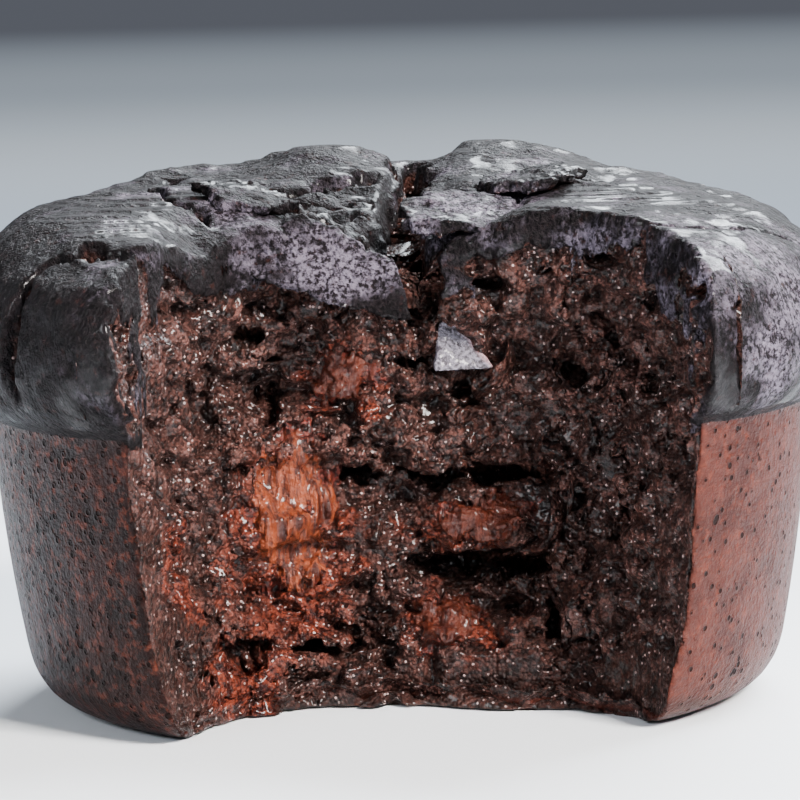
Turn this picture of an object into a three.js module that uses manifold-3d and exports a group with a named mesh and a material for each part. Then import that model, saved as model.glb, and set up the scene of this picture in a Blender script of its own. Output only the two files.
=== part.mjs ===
// A chocolate muffin baked in a round tin, with one bite taken out of its front.
// Millimetres, +Z up. The origin is the centre of the round base, on the surface that the muffin
// rests on, and the bite faces -Y. The cake is one solid. The lumps of melted chocolate and the
// flake of crust that show in the bite are solids of their own, each in a pocket of the cake.
import * as THREE from "three";
import { mergeVertices } from "three/addons/utils/BufferGeometryUtils.js";
import Module from "manifold-3d";

const wasm = await Module();
wasm.setup();

// ---------------------------------------------------------------- driving dimensions

// The part that the tin shaped.
const BASE_RADIUS = 26.8; // the flat that it stands on
const BASE_ROUNDING = 5.4; // height of the rounded edge between the base and the wall
const FOOT_RADIUS = 32.9; // the wall just above that edge
const RIM_RADIUS = 35.3; // the wall where the tin ended
const RIM_HEIGHT = 25.6;
const WALL_BULGE = 0.7; // how far the wall bellies out between foot and rim

// The crown that rose over the tin's rim.
const CROWN_OVERHANG = 3.1; // how far it spreads past the wall
const CROWN_RISE = 18.2; // from the rim to the top of the dome, before the lumps
const SHOULDER_INSET = 4.6; // from the crown's widest to where its side turns into the top
const CROWN_TILT = 2.6; // how much lower it is at the front, beside the bite

// The bite, looking along +Y into it.
const BITE_HALF_WIDTH = 23.6; // at the crown
const BITE_BASE_HALF_WIDTH = 21; // at the base
const BITE_CENTRE_X = 1.2;
const BITE_BACK_Y = -4.5; // the deepest part of its back wall
const BITE_FLARE = 4.2; // how squarely the back wall turns into the sides
const TEAR = 0.8; // unevenness of the torn face

// What lies in the bite.
const POCKET_GAP = 0.35; // between each piece and the pocket it sits in
const SEAT = 0.52; // the share of each piece that is sunk in the cake

// Fineness of the surfaces.
const AROUND = 72;
const ALONG_EACH_CURVE = 7;
const CELL = 1.6;

const CROWN_RADIUS = RIM_RADIUS + CROWN_OVERHANG;
const CROWN_TOP = RIM_HEIGHT + CROWN_RISE;
const MARGIN = 8; // how far the bite's cutter runs past the cake

// ---------------------------------------------------------------- helpers

const radians = THREE.MathUtils.degToRad;
const smooth = THREE.MathUtils.smoothstep;
const bell = (distance, spread) => Math.exp(-((distance / spread) ** 2));

// A closed three.js geometry as a solid that can be cut.
function solidOf(geometry) {
  const bare = geometry.index ? geometry.clone() : mergeVertices(geometry);
  bare.deleteAttribute("normal");
  bare.deleteAttribute("uv");
  const merged = mergeVertices(bare, 1e-4);
  const corners = merged.index.array;
  const kept = [];
  for (let i = 0; i < corners.length; i += 3) {
    const [a, b, c] = corners.slice(i, i + 3);
    if (a !== b && b !== c && c !== a) kept.push(a, b, c);
  }
  return new wasm.Manifold(
    new wasm.Mesh({
      numProp: 3,
      vertProperties: merged.attributes.position.array,
      triVerts: new Uint32Array(kept),
    }),
  );
}

// A cut solid as a three.js geometry.
function geometryOf(solid) {
  const mesh = solid.getMesh();
  const geometry = new THREE.BufferGeometry();
  geometry.setAttribute("position", new THREE.BufferAttribute(mesh.vertProperties, 3));
  geometry.setIndex(new THREE.BufferAttribute(mesh.triVerts, 1));
  geometry.computeVertexNormals();
  return geometry;
}

// Moves every vertex of a geometry by a function of its place.
function moulded(geometry, move) {
  const places = geometry.attributes.position;
  const point = new THREE.Vector3();
  for (let i = 0; i < places.count; i++) {
    point.fromBufferAttribute(places, i);
    move(point);
    places.setXYZ(i, point.x, point.y, point.z);
  }
  return geometry;
}

// Rounded bumps and dips between about -1 and 1 in all three directions, a wavelength apart.
function ripple(x, y, z, wavelength) {
  const k = (2 * Math.PI) / wavelength;
  const a = k * (0.8 * x + 0.6 * z) + 1.3;
  const b = k * (0.9 * y - 0.3 * x) + 0.4;
  const c = k * (0.8 * z - 0.6 * x + 0.2 * y) + 2.1;
  const waves =
    Math.sin(a) * Math.cos(b) + Math.sin(b) * Math.cos(c) + Math.sin(c) * Math.cos(a);
  return waves / 1.5;
}

// ---------------------------------------------------------------- the whole cake

// Lumps and hollows of the crown: where, how high (down if negative) and how far they spread.
const CROWN_LUMPS = [
  { x: -26, y: -13, height: 1.6, spread: 7 }, // the roll to the left of the bite
  { x: -6, y: 16, height: 3.4, spread: 7.5 }, // the two crests at the back
  { x: 9.5, y: 17, height: 3.0, spread: 7.5 },
  { x: 1.6, y: 19, height: -3.2, spread: 3.4 }, // the valley between them
  { x: -20, y: 14, height: 1.0, spread: 7 },
  { x: 31, y: 3, height: -1.7, spread: 9 },
  { x: 2, y: 31, height: 1.4, spread: 8 },
  { x: -17, y: 26, height: 1.0, spread: 7 },
  { x: 20, y: 24, height: 0.9, spread: 7 },
  { x: -14, y: -15, height: -4.0, spread: 6 }, // the crust that sank over the bite
  { x: -1, y: -12, height: -10, spread: 7.5 },
  { x: -7.5, y: -9, height: 3, spread: 3.5 }, // the torn flap that stayed up
  { x: 1, y: 3, height: -2.2, spread: 5 }, // the middle, which fell back
];

// The side lobes of the crown: where it flowed further over the rim and where it held back.
const RIM_LOBES = [
  { azimuth: 214, out: 1.6, spread: 24 },
  { azimuth: 322, out: 1.0, spread: 22 },
  { azimuth: 270, out: -0.8, spread: 20 },
  { azimuth: 165, out: -0.9, spread: 18 },
  { azimuth: 118, out: 1.1, spread: 22 },
  { azimuth: 66, out: -0.4, spread: 16 },
  { azimuth: 22, out: 0.8, spread: 22 },
];

function outline() {
  const path = new THREE.Path();
  path.moveTo(0, 0);
  path.lineTo(BASE_RADIUS, 0);
  path.quadraticCurveTo(FOOT_RADIUS - 0.9, 0, FOOT_RADIUS, BASE_ROUNDING);
  path.quadraticCurveTo(
    (FOOT_RADIUS + RIM_RADIUS) / 2 + WALL_BULGE,
    (BASE_ROUNDING + RIM_HEIGHT) / 2,
    RIM_RADIUS,
    RIM_HEIGHT,
  );
  const shoulder = new THREE.Vector2(
    CROWN_RADIUS - SHOULDER_INSET,
    RIM_HEIGHT + 0.86 * CROWN_RISE,
  );
  path.bezierCurveTo(
    RIM_RADIUS + 1.25 * CROWN_OVERHANG,
    RIM_HEIGHT - 0.6,
    CROWN_RADIUS + 1.2,
    RIM_HEIGHT + 0.62 * CROWN_RISE,
    shoulder.x,
    shoulder.y,
  );
  path.bezierCurveTo(
    shoulder.x - SHOULDER_INSET,
    CROWN_TOP + 0.6,
    CROWN_RADIUS / 2,
    CROWN_TOP,
    0,
    CROWN_TOP,
  );
  return path.getPoints(ALONG_EACH_CURVE);
}

// How far the crown's top is above the smooth dome at x and y.
function lumpsAt(x, y) {
  const tilt = -CROWN_TILT * smooth(-y, -4, 26);
  return CROWN_LUMPS.reduce((sum, lump) => {
    const apart = Math.hypot(x - lump.x, y - lump.y);
    return sum + lump.height * bell(apart, lump.spread);
  }, tilt);
}

function lobesAt(azimuth) {
  return RIM_LOBES.reduce((sum, lobe) => {
    const apart = THREE.MathUtils.euclideanModulo(azimuth - lobe.azimuth + 180, 360) - 180;
    return sum + lobe.out * bell(apart, lobe.spread);
  }, 0);
}

function wholeCake() {
  const lathe = new THREE.LatheGeometry(outline(), AROUND).rotateX(Math.PI / 2);
  moulded(lathe, (p) => {
    const risen = smooth(p.z, RIM_HEIGHT - 1, RIM_HEIGHT + 7);
    const topside = smooth(p.z, RIM_HEIGHT + 0.55 * CROWN_RISE, RIM_HEIGHT + 0.9 * CROWN_RISE);
    const reach = Math.hypot(p.x, p.y);
    if (risen > 0 && reach > 0) {
      const azimuth = THREE.MathUtils.radToDeg(Math.atan2(p.y, p.x));
      const out = risen * (lobesAt(azimuth) + 0.5 * ripple(p.x, p.y, p.z, 17));
      const share = Math.min(1, reach / RIM_RADIUS);
      p.x *= 1 + (out * share) / reach;
      p.y *= 1 + (out * share) / reach;
    }
    p.z += topside * (lumpsAt(p.x, p.y) + 0.45 * ripple(p.x, p.y, p.z, 12));
  });
  return solidOf(lathe);
}

// ---------------------------------------------------------------- the bite

// Half the bite's width at height z. It narrows downwards, from the wall's rim to the base.
function biteHalfWidth(z) {
  const down = THREE.MathUtils.clamp(1 - z / RIM_HEIGHT, 0, 1);
  return BITE_HALF_WIDTH - (BITE_HALF_WIDTH - BITE_BASE_HALF_WIDTH) * down ** 1.6;
}

// How much closer to the front the back wall is at the base and under the crust.
function biteLean(x, z) {
  const low = 3.4 * bell(z, 8) + 3.2 * bell(z, 4) + 3.0 * bell(z, 7) * bell(x - 11, 7);
  const high = 5.2 * smooth(z, 0.62 * CROWN_TOP, 0.92 * CROWN_TOP);
  const shelf = 1.5 * bell(z - 15.2, 2.2) + 1.1 * bell(z - 23.5, 3.5);
  return low + high + shelf;
}

// The y of the torn face at x and z. Past the bite's sides it runs on out of the cake.
function biteFace(x, z) {
  const across = Math.abs(x - BITE_CENTRE_X) / biteHalfWidth(z);
  const back = BITE_BACK_Y - biteLean(x, z);
  const mouth = -Math.sqrt(Math.max(0, CROWN_RADIUS ** 2 - BITE_HALF_WIDTH ** 2));
  const torn = TEAR * (ripple(x, 0, z, 9.5) + 0.6 * ripple(z, 3, x, 5.1));
  return back + (mouth - back) * across ** BITE_FLARE + torn;
}

function biteCutter() {
  const width = 2 * (BITE_HALF_WIDTH + MARGIN);
  const height = CROWN_TOP + 2 * MARGIN;
  const front = -(CROWN_RADIUS + MARGIN);
  const box = new THREE.BoxGeometry(
    width,
    1,
    height,
    Math.round(width / CELL),
    1,
    Math.round(height / CELL),
  );
  box.translate(BITE_CENTRE_X, 0, height / 2 - MARGIN);
  moulded(box, (p) => {
    p.y = p.y < 0 ? front : Math.max(front + 1, biteFace(p.x, p.z));
  });
  return solidOf(box);
}

// Splits between the layers of crumb, cut into the torn face. Sizes are across, high and deep.
const CREVICES = [
  { x: 5.5, z: 18.2, size: [7.6, 0.9, 4.5], tilt: 5 }, // under the upper layer
  { x: -2.6, z: 19.2, size: [4.2, 1.2, 3.2], tilt: -3 },
  { x: 6.4, z: 10.4, size: [6.6, 1.5, 5.5], tilt: 2 }, // under the shelf
  { x: -6.4, z: 4.6, size: [5.4, 0.9, 3.0], tilt: 4 },
  { x: -14.5, z: 5.4, size: [2.6, 1.7, 3.0], tilt: 0 },
  { x: 12.6, z: 7.6, size: [0.8, 3.0, 3.0], tilt: 0 },
  { x: 14.6, z: 25.0, size: [3.2, 3.4, 3.6], tilt: 20 },
  { x: 18.4, z: 19.0, size: [2.2, 3.0, 3.4], tilt: 0 },
  { x: -8.2, z: 27.6, size: [1.5, 2.0, 2.4], tilt: 15 },
  { x: 5.8, z: 33.5, size: [2.0, 1.5, 2.6], tilt: -10 },
];

function crevice({ x, z, size: [across, high, deep], tilt }) {
  return solidOf(
    new THREE.SphereGeometry(1, 18, 10)
      .scale(across, deep, high)
      .rotateY(radians(tilt))
      .translate(x, biteFace(x, z), z),
  );
}

// The split that runs back across the crown from the bite, wide at the top and closed below.
const SPLIT = { width: 2.6, depth: 7.5, bend: 1.0, sections: 14, front_y: -16, back_y: 12 };

function crownSplit() {
  const length = SPLIT.back_y - SPLIT.front_y;
  const wedge = new THREE.BoxGeometry(1, length, 1, 1, SPLIT.sections, 3);
  moulded(wedge, (p) => {
    const along = p.y / length + 0.5; // 0 at the bite, 1 where the split ends
    const closing = (1 - along) ** 0.6;
    const up = p.z + 0.5; // 0 at the bottom of the split
    const y = SPLIT.front_y + along * length;
    const x = 1.6 + SPLIT.bend * Math.sin(along * 7) - 1.8 * along;
    const surface = CROWN_TOP + lumpsAt(x, y);
    const depth = 0.6 + SPLIT.depth * closing;
    p.set(
      x + 2 * p.x * (0.12 + (SPLIT.width / 2) * closing * up),
      y,
      surface - depth + up * (depth + 3),
    );
  });
  return solidOf(wedge);
}

// ---------------------------------------------------------------- what lies in the bite

// Lumps of melted chocolate. Sizes are half-extents: across, deep and high.
const CHOCOLATE = [
  { name: "melted_chocolate_streak", x: -9.4, z: 14.6, size: [2.9, 1.5, 6.4], turn: -12 },
  { name: "melted_chocolate_top_pocket", x: -4.6, z: 27.8, size: [2.3, 1.2, 2.0], turn: 25 },
  { name: "melted_chocolate_shelf", x: 6.2, z: 16.0, size: [5.2, 1.3, 1.1], turn: 8 },
  { name: "melted_chocolate_low_pocket", x: 3.6, z: 7.2, size: [2.9, 1.3, 1.7], turn: -6 },
];

// A rounded lump whose surface wavers by its own size.
function chocolateShape({ x, z, size: [across, deep, high], turn }, grow) {
  const lump = new THREE.IcosahedronGeometry(1, 3);
  moulded(lump, (p) => {
    p.multiplyScalar(1 + 0.13 * ripple(p.x + x, p.y, p.z + z, 1.9));
    p.set(p.x * (across + grow), p.y * (deep + grow), p.z * (high + grow));
  });
  const sunk = (2 * SEAT - 1) * deep;
  return lump.rotateY(radians(turn)).translate(x, biteFace(x, z) + sunk, z);
}

const FLAKE = { x: 5.0, z: 30.4, width: 4.4, height: 4.2, thickness: 1.0, lean: 28 };

// A three-cornered chip of crust lying against the crumb.
function flakeShape(grow) {
  const half = FLAKE.width / 2 + grow;
  const outline = new THREE.Shape();
  outline.moveTo(-half, -FLAKE.height / 2 - grow);
  outline.quadraticCurveTo(0, -FLAKE.height / 2 - 1.4 * grow - 0.3, half, -FLAKE.height / 2 - grow);
  outline.lineTo(0.18 * half, FLAKE.height / 2 + 1.6 * grow);
  outline.lineTo(-0.45 * half, FLAKE.height / 2 + grow);
  outline.closePath();
  const thickness = FLAKE.thickness + 2 * grow;
  const chip = new THREE.ExtrudeGeometry(outline, {
    depth: thickness,
    bevelEnabled: false,
    curveSegments: 5,
  });
  return chip
    .translate(0, 0, -thickness / 2)
    .rotateX(Math.PI / 2 + radians(FLAKE.lean))
    .translate(FLAKE.x, biteFace(FLAKE.x, FLAKE.z), FLAKE.z);
}

// ---------------------------------------------------------------- the muffin

const CAKE_LOOK = new THREE.MeshStandardMaterial({ color: 0x2f1a15, roughness: 0.75 });
const CHOCOLATE_LOOK = new THREE.MeshStandardMaterial({ color: 0x6e2a14, roughness: 0.3 });
const CRUST_LOOK = new THREE.MeshStandardMaterial({ color: 0x4a4145, roughness: 0.6 });

function named(name, geometry, material) {
  const mesh = new THREE.Mesh(geometry, material);
  mesh.name = name;
  return mesh;
}

function bittenCake() {
  const cutters = [
    biteCutter(),
    crownSplit(),
    ...CREVICES.map(crevice),
    ...CHOCOLATE.map((lump) => solidOf(chocolateShape(lump, POCKET_GAP))),
    solidOf(flakeShape(POCKET_GAP)),
  ];
  const cut = cutters.reduce((cake, cutter) => cake.subtract(cutter), wholeCake());
  const pieces = cut.decompose();
  return pieces.reduce((a, b) => (a.volume() > b.volume() ? a : b)); // crumbs cut loose are dropped
}

const muffin = new THREE.Group();
muffin.name = "muffin_with_a_bite";
muffin.add(named("muffin", geometryOf(bittenCake()), CAKE_LOOK));
for (const lump of CHOCOLATE) {
  muffin.add(named(lump.name, chocolateShape(lump, 0), CHOCOLATE_LOOK));
}
muffin.add(named("crust_flake", flakeShape(0), CRUST_LOOK));

export default muffin;
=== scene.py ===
# %% [markdown]
# # A bitten chocolate muffin
# The cake was poured into a round tin, rose over its rim, cracked on top, and then somebody took one
# big bite out of it. The CAD model gives the whole form: the tapered side, the domed crown and the
# bite. Everything that makes it look like cake is added here: the torn crumb with its holes, the
# leathery crust, the small pits of the side and the melted chocolate.

# %% The frame
import math
import time

import bpy
import numpy as np
from mathutils import Matrix, Vector
from mathutils.bvhtree import BVHTree


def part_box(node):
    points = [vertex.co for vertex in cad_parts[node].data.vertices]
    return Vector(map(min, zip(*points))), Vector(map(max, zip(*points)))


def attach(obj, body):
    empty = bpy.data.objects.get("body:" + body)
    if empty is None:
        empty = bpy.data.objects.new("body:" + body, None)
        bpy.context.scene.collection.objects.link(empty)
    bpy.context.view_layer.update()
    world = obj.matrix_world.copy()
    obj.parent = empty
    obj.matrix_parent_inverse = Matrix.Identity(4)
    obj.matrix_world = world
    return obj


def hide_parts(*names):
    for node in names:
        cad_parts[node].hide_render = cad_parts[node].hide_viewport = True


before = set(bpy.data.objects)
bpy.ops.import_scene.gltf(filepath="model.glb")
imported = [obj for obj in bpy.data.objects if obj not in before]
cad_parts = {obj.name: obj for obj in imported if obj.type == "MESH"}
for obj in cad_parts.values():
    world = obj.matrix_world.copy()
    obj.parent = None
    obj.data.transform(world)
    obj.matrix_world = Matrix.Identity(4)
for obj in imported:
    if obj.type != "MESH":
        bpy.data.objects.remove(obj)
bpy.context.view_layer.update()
MM = 0.001

# %% [markdown]
# ## Camera
# A long lens close to the table flattens the muffin a little and fills the frame with it. The camera
# looks from just above the crown's edge, so that both the top and the bite's back wall are seen. It
# is tipped by a degree and a half, as a hand-held camera is.

# %% Camera
CAMERA_PLACE = Vector((0, -320, 60)) * MM
CAMERA_AIM = Vector((0, 0, 25.1)) * MM
CAMERA_ROLL = math.radians(-1.5)
SENSOR = 36
FOCAL_LENGTH = 167

lens = bpy.data.cameras.new("camera")
lens.sensor_width = SENSOR
lens.lens = FOCAL_LENGTH
lens.clip_start = 10 * MM
lens.clip_end = 200
camera = bpy.data.objects.new("camera", lens)
bpy.context.scene.collection.objects.link(camera)
look = (CAMERA_AIM - CAMERA_PLACE).to_track_quat("-Z", "Y")
camera.matrix_world = Matrix.Translation(CAMERA_PLACE) @ look.to_matrix().to_4x4()
camera.matrix_world = camera.matrix_world @ Matrix.Rotation(CAMERA_ROLL, 4, "Z")
bpy.context.scene.camera = camera
print("camera", [round(v / MM) for v in CAMERA_PLACE], "mm,", FOCAL_LENGTH, "mm lens")

# %% [markdown]
# ## Sockets
# Everything below is made of nodes, in Geometry Nodes and in materials. By hand you would drag links
# between them. A long formula is easier to read as arithmetic, so Wire wraps an output socket and
# turns +, -, * and / into Math nodes. Any other node is added with node(): its type, its settings and
# what is plugged into it.

# %% Sockets
class Wire:
    """An output socket that Python arithmetic works on. Each operation adds its Math node."""

    def __init__(self, socket):
        self.socket = socket
        self.tree = socket.id_data

    def maths(self, operation, *others):
        return node(self.tree, "ShaderNodeMath", {"operation": operation}, [self, *others])

    def __add__(self, other):
        return self.maths("ADD", other)

    def __sub__(self, other):
        return self.maths("SUBTRACT", other)

    def __mul__(self, other):
        return self.maths("MULTIPLY", other)

    def __truediv__(self, other):
        return self.maths("DIVIDE", other)

    def __rsub__(self, other):
        return node(self.tree, "ShaderNodeMath", {"operation": "SUBTRACT"}, [other, self])

    def __neg__(self):
        return self * -1

    __radd__ = __add__
    __rmul__ = __mul__

    def vector(self, operation, *others):
        return node(self.tree, "ShaderNodeVectorMath", {"operation": operation}, [self, *others])

    def scaled(self, factor):
        return node(self.tree, "ShaderNodeVectorMath", {"operation": "SCALE"},
                    {"Vector": self, "Scale": factor})

    def axes(self):
        parts = self.tree.nodes.new("ShaderNodeSeparateXYZ")
        self.tree.links.new(self.socket, parts.inputs[0])
        return [Wire(out) for out in parts.outputs]

    def length(self):
        return node(self.tree, "ShaderNodeVectorMath", {"operation": "LENGTH"}, [self], "Value")

    def between(self, low, high):
        """0 below low, 1 above high, with a smooth step in between."""
        return node(self.tree, "ShaderNodeMapRange", {"interpolation_type": "SMOOTHSTEP"},
                    {"Value": self, "From Min": low, "From Max": high})


def node(tree, kind, settings, sockets, output=0):
    """Adds a node, sets its settings and then its sockets, by place in a list or by name."""
    new = tree.nodes.new(kind)
    for name, value in settings.items():
        setattr(new, name, value)
    places = enumerate(sockets) if isinstance(sockets, list) else sockets.items()
    for place, value in places:
        socket = new.inputs[place]
        if isinstance(value, Wire):
            tree.links.new(value.socket, socket)
        else:
            socket.default_value = value
    return Wire(new.outputs[output])


# %% [markdown]
# ## Clay
# Small helpers for work on one object at a time, as you would do it in the viewport: select it
# alone, add a modifier and apply it, take a copy of a piece of the plain model to sculpt from.

# %% Clay
def alone(piece):
    """Makes one piece the only selected and the active one, as a click on it does."""
    bpy.ops.object.select_all(action="DESELECT")
    piece.select_set(True)
    bpy.context.view_layer.objects.active = piece


def linked(name, mesh):
    piece = bpy.data.objects.new(name, mesh)
    bpy.context.scene.collection.objects.link(piece)
    return piece


def apply(piece, kind, **settings):
    alone(piece)
    modifier = piece.modifiers.new(kind.lower(), kind)
    for name, value in settings.items():
        setattr(modifier, name, value)
    bpy.ops.object.modifier_apply(modifier=modifier.name)


def copy_of(name, new_name):
    piece = linked(new_name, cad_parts[name].data.copy())
    piece.data.materials.clear()
    alone(piece)
    bpy.ops.object.mode_set(mode="EDIT")
    bpy.ops.mesh.select_all(action="SELECT")
    bpy.ops.mesh.remove_doubles(threshold=0.001 * MM)
    bpy.ops.object.mode_set(mode="OBJECT")
    return piece


def triangles(piece):
    piece.data.calc_loop_triangles()
    return len(piece.data.loop_triangles)


# %% [markdown]
# ## Rubbings
# The plain model knows where the crust, the side and the bite are, but only as surfaces. A crumb
# needs to know how far under the crust and how far behind the bite each point lies. Rays are shot at
# the plain model from above and all around, like a pencil rubbing, and each rubbing is kept as a
# flat sheet whose vertices carry the distance. The face of the bite follows a rule that is known
# exactly, so it needs no rays. Lookups in sheets are much faster than searching the nearest surface.

# %% Rubbings
def all_trees():
    trees = []
    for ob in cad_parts.values():
        ob.data.calc_loop_triangles()
        trees.append(BVHTree.FromPolygons([v.co for v in ob.data.vertices],
                                          [t.vertices for t in ob.data.loop_triangles]))
    return trees


def rubbing(rows, columns, ray):
    """How far the ray of each row and column gets before it meets the plain model, in mm."""
    far = np.full((len(rows), len(columns)), np.nan)
    for j, row in enumerate(rows):
        for i, column in enumerate(columns):
            start, way = ray(column, row)
            hits = [tree.ray_cast(start * MM, way)[3] for tree in TREES]
            hits = [hit for hit in hits if hit is not None]
            if hits:
                far[j, i] = min(hits) / MM
    return far


def filled(far, missing):
    """Fills the points whose rays met nothing from their neighbours, outwards."""
    far = far.copy()
    while np.isnan(far).any():
        padded = np.pad(far, 1, mode="edge")
        around = np.stack([padded[:-2, 1:-1], padded[2:, 1:-1], padded[1:-1, :-2], padded[1:-1, 2:]])
        known = ~np.isnan(around)
        mean = np.where(known, around, 0).sum(0) / np.maximum(known.sum(0), 1)
        hole = np.isnan(far) & known.any(0)
        if not hole.any():
            return np.where(np.isnan(far), missing, far)
        far[hole] = mean[hole]
    return far


def sheet_of(name, depth, step):
    """Keeps a rubbing in a mesh's points: its depth and how squarely the surface faces it."""
    down, across = np.gradient(depth, step)
    square = np.maximum(1 / np.sqrt(1 + down**2 + across**2), 0.3)
    mesh = bpy.data.meshes.new(name)
    mesh.vertices.add(depth.size)
    for key, values in (("depth", depth), ("square", square)):
        mesh.attributes.new(key, "FLOAT", "POINT").data.foreach_set("value", values.ravel())
    return linked(name, mesh)


def blurred(a, times):
    for _ in range(times):
        p = np.pad(a, 1, mode="edge")
        a = (p[:-2, 1:-1] + p[2:, 1:-1] + p[1:-1, :-2] + p[1:-1, 2:] + 4 * p[1:-1, 1:-1]) / 8
    return a


# %% [markdown]
# ## The face of the bite
# Teeth leave a bowl: a back wall, two sides that turn forward, and a lip near the table. The plain
# model draws it with one rule, which is written out again here, so that the crumb can be built on
# exactly the same face.

# %% The face of the bite
def bell(t, width):
    return np.exp(-((t / width) ** 2))


def ripple(x, y, z, wavelength):
    """The CAD model's own unevenness: three crossing waves."""
    k = 2 * math.pi / wavelength
    a = k * (0.8 * x + 0.6 * z) + 1.3
    b = k * (0.9 * y - 0.3 * x) + 0.4
    c = k * (0.8 * z - 0.6 * x + 0.2 * y) + 2.1
    return (np.sin(a) * np.cos(b) + np.sin(b) * np.cos(c) + np.sin(c) * np.cos(a)) / 1.5


def bite_face(x, z):
    """The y of the torn face, as the CAD model has it. Past its sides it runs out of the cake."""
    down = np.clip(1 - z / RIM, 0, 1)
    half_width = BITE_HALF_WIDTH - (BITE_HALF_WIDTH - BITE_BASE_HALF_WIDTH) * down**1.6
    rise = np.clip((z / CROWN_TOP - 0.62) / 0.30, 0, 1)
    lean = 3.4 * bell(z, 8) + 3.2 * bell(z, 4) + 3.0 * bell(z, 7) * bell(x - 11, 7)
    lean = lean + 5.2 * rise * rise * (3 - 2 * rise)
    lean = lean + 1.5 * bell(z - 15.2, 2.2) + 1.1 * bell(z - 23.5, 3.5)
    back = BITE_BACK_Y - lean
    mouth = -math.sqrt(CROWN_RADIUS**2 - BITE_HALF_WIDTH**2)
    torn = TEAR * (ripple(x, 0, z, 9.5) + 0.6 * ripple(z, 3, x, 5.1))
    return back + (mouth - back) * (np.abs(x - BITE_CENTRE_X) / half_width) ** BITE_FLARE + torn


# The CAD model's own sizes, in mm.
RIM = 25.6
CROWN_TOP = RIM + 18.2
CROWN_RADIUS = 38.4
BITE_HALF_WIDTH = 23.6
BITE_BASE_HALF_WIDTH = 21.0
BITE_CENTRE_X = 1.2
BITE_BACK_Y = -4.5
BITE_FLARE = 4.2
TEAR = 0.8
t0 = time.time()
TREES = all_trees()
STEP = 0.4
XS = np.arange(-40, 40.01, STEP)
YS = np.arange(-37, 40.01, STEP)
ZS = np.arange(0.1, 50.01, STEP)
front = bite_face(*np.meshgrid(XS, ZS))
SKY = 70  # where the rays from above start
RING = 60  # how far out the rays from all around start


def downwards(x, y):
    return Vector((x, y, SKY)), Vector((0, 0, -1))


def inwards(turn, z):
    out = Vector((math.cos(turn), math.sin(turn), 0))
    return out * RING + Vector((0, 0, z)), -out


top = SKY - filled(rubbing(YS, XS, downwards), SKY)
AROUND = np.radians(np.arange(-180, 180.1, 2))
side = RING - rubbing(ZS, AROUND, inwards)
highest = np.nanmax(np.where(np.isnan(side), 0, side), axis=1)
outer = np.where(highest > 0, highest, 0)
side = np.where(np.isnan(side), outer[:, None], side)
at_front = (AROUND > -2.6) & (AROUND < -0.5)
open_mouth = (side < outer[:, None] - 3.5) & at_front[None, :] & (ZS < 41)[:, None]
side = np.where(open_mouth, outer[:, None] - 0.6, side)
front_map = sheet_of("front_map", np.maximum(front, -60), STEP)
top_map = sheet_of("top_map", blurred(top, 2), STEP)
side_map = sheet_of("side_map", blurred(side, 2), STEP)
print("rubbings", front.shape, top.shape, side.shape, round(time.time() - t0, 1), "s")


# %% [markdown]
# ## Fields
# A sponge is full of holes, undercuts and loose bits, which can't be had by pushing a surface in and
# out. So each baked piece is made as a cloud: Volume Cube works out a number at every point of a box,
# positive where there is cake, and Volume to Mesh draws the skin where that number is zero. The
# numbers that a material needs later, such as the depth under the crust, are stored on the mesh.

# %% Fields
def position_mm(tree):
    return node(tree, "GeometryNodeInputPosition", {}, {}).scaled(1 / MM)


def sheet_sampler(tree, sheet):
    info = node(tree, "GeometryNodeObjectInfo", {}, {"Object": sheet}, "Geometry")
    def sample(name, index):
        value = node(tree, "GeometryNodeInputNamedAttribute", {"data_type": "FLOAT"}, {"Name": name})
        return node(tree, "GeometryNodeSampleIndex",
                    {"data_type": "FLOAT", "domain": "POINT", "clamp": True},
                    {"Geometry": info, "Value": value, "Index": index})
    return sample


def read(tree, sheet, names, u, v, shape):
    """Reads a sheet between its points, at column u and row v."""
    rows, columns = shape
    sample = sheet_sampler(tree, sheet)
    u = u.maths("MAXIMUM", 0).maths("MINIMUM", columns - 1.001)
    v = v.maths("MAXIMUM", 0).maths("MINIMUM", rows - 1.001)
    i, j = u.maths("FLOOR"), v.maths("FLOOR")
    a, b = u - i, v - j
    start = j * columns + i
    found = []
    for name in names:
        near = sample(name, start) * (1 - a) + sample(name, start + 1) * a
        next_row = sample(name, start + columns) * (1 - a) + sample(name, start + columns + 1) * a
        found.append(near * (1 - b) + next_row * b)
    return found


def noise(tree, p, size, detail=2.0, roughness=0.5, offset=(0, 0, 0)):
    moved = p.vector("ADD", offset) if any(offset) else p
    return node(tree, "ShaderNodeTexNoise", {"noise_dimensions": "3D"},
                {"Vector": moved, "Scale": 1 / size, "Detail": detail, "Roughness": roughness}) - 0.5


def cells(tree, p, size, offset=(0, 0, 0)):
    """How far a point is from the middle of its cell, in mm."""
    moved = p.vector("ADD", offset) if any(offset) else p
    return node(tree, "ShaderNodeTexVoronoi", {"feature": "F1"},
                {"Vector": moved, "Scale": 1 / size}) * size


MOST_TRIANGLES = 190000
EDGE_VOXELS = 3  # the skin of a cloud fades over this many voxels


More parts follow.
